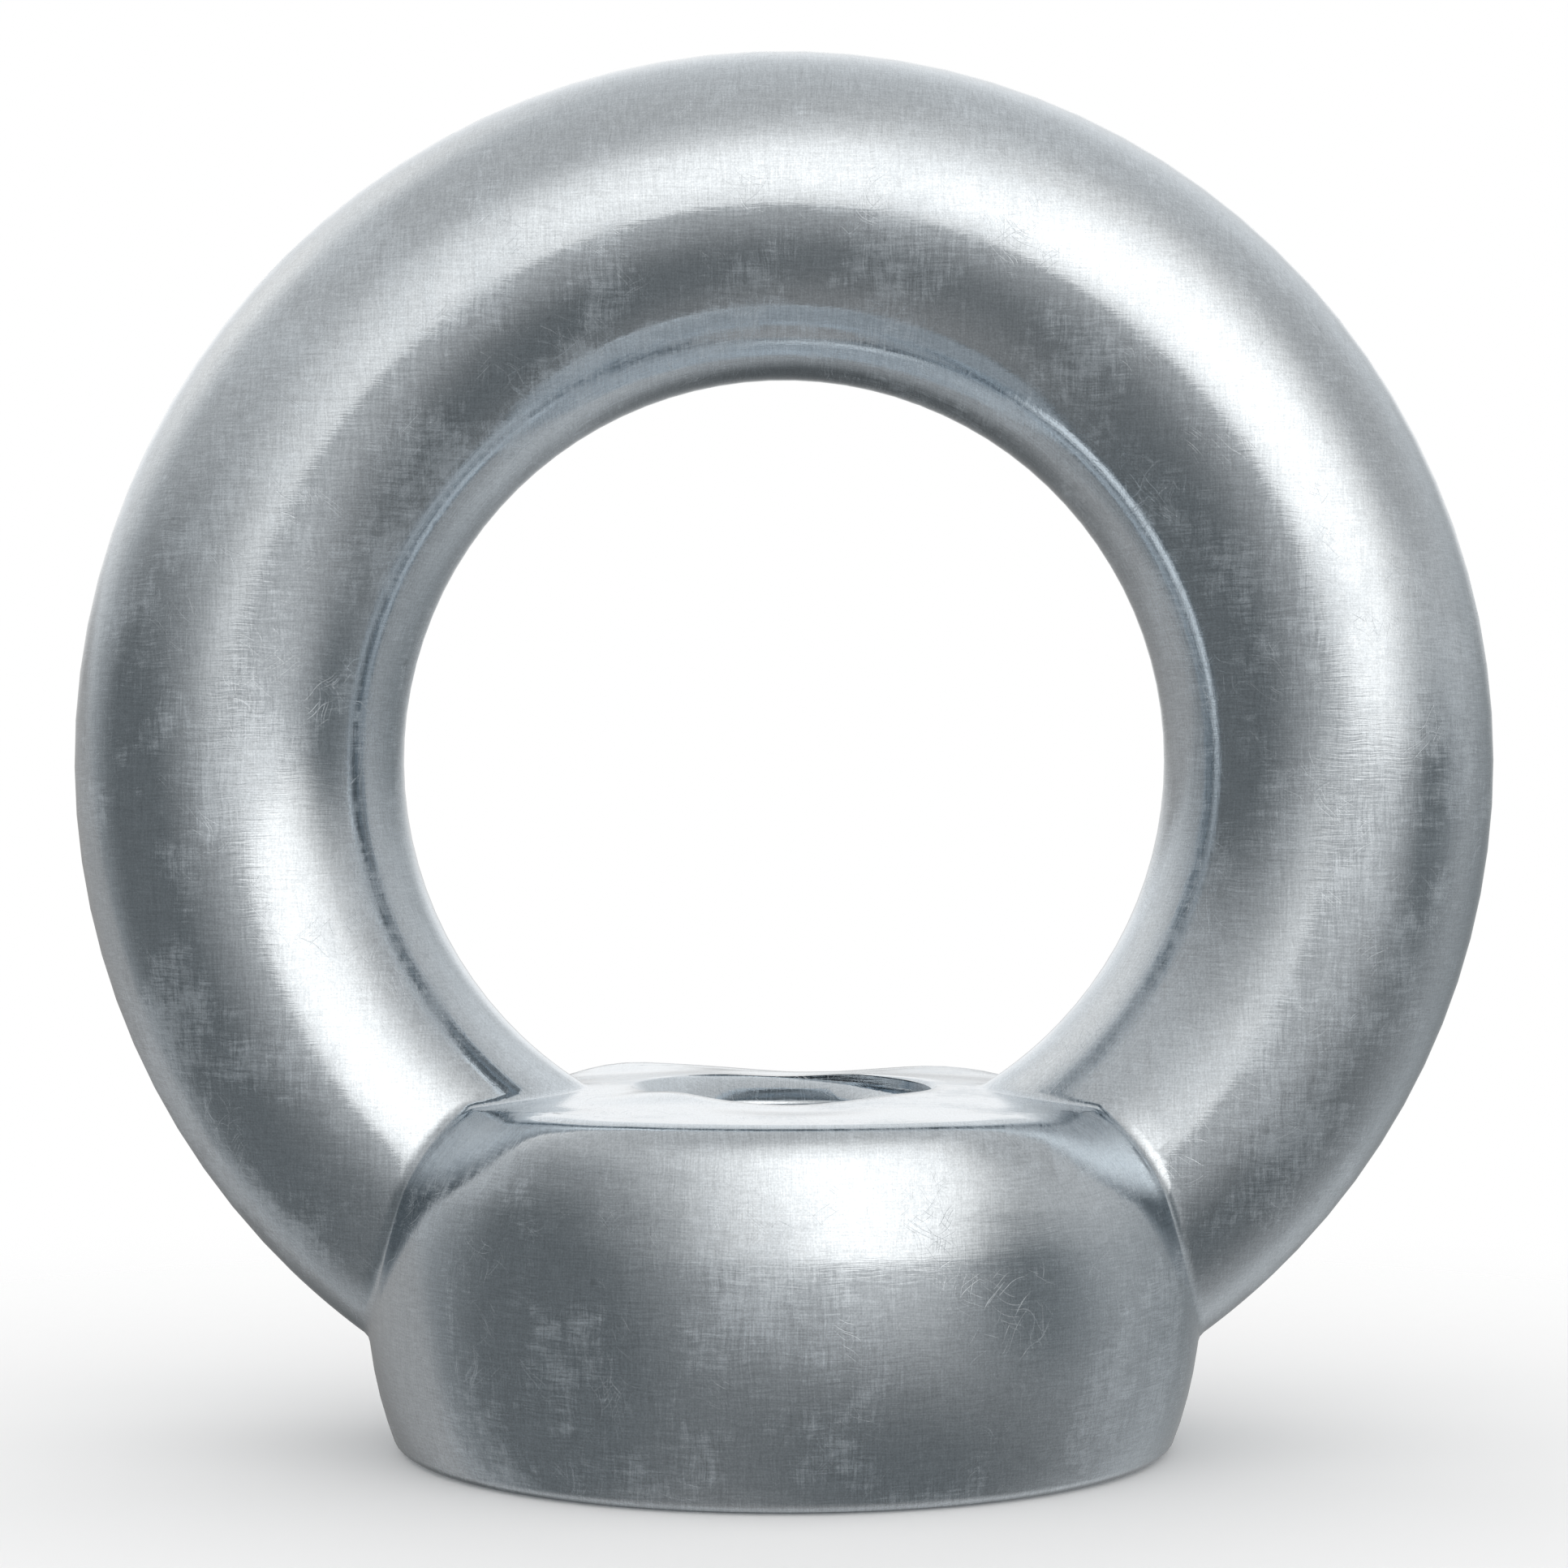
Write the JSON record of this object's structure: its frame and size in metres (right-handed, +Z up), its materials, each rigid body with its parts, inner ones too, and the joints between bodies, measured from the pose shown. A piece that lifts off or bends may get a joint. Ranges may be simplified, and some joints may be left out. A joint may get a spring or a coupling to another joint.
{
  "type": "lifting eye nut",
  "caption": "Forged steel lifting eye nut: a round-section ring standing on a domed boss, with an internal thread up through the boss for a stud or bolt.",
  "frame": {"origin": "centre of the foot's face, where the bore's axis meets it", "axes": "+Z up the bore's axis to the top of the ring, the ring in the XZ plane, +Y through the eye"},
  "size_m": [0.054, 0.0316, 0.053],
  "materials": {
    "zinc_plated_steel": "satin"
  },
  "bodies": {
    "root": {"eye_nut": "zinc_plated_steel"}
  },
  "joints": []
}
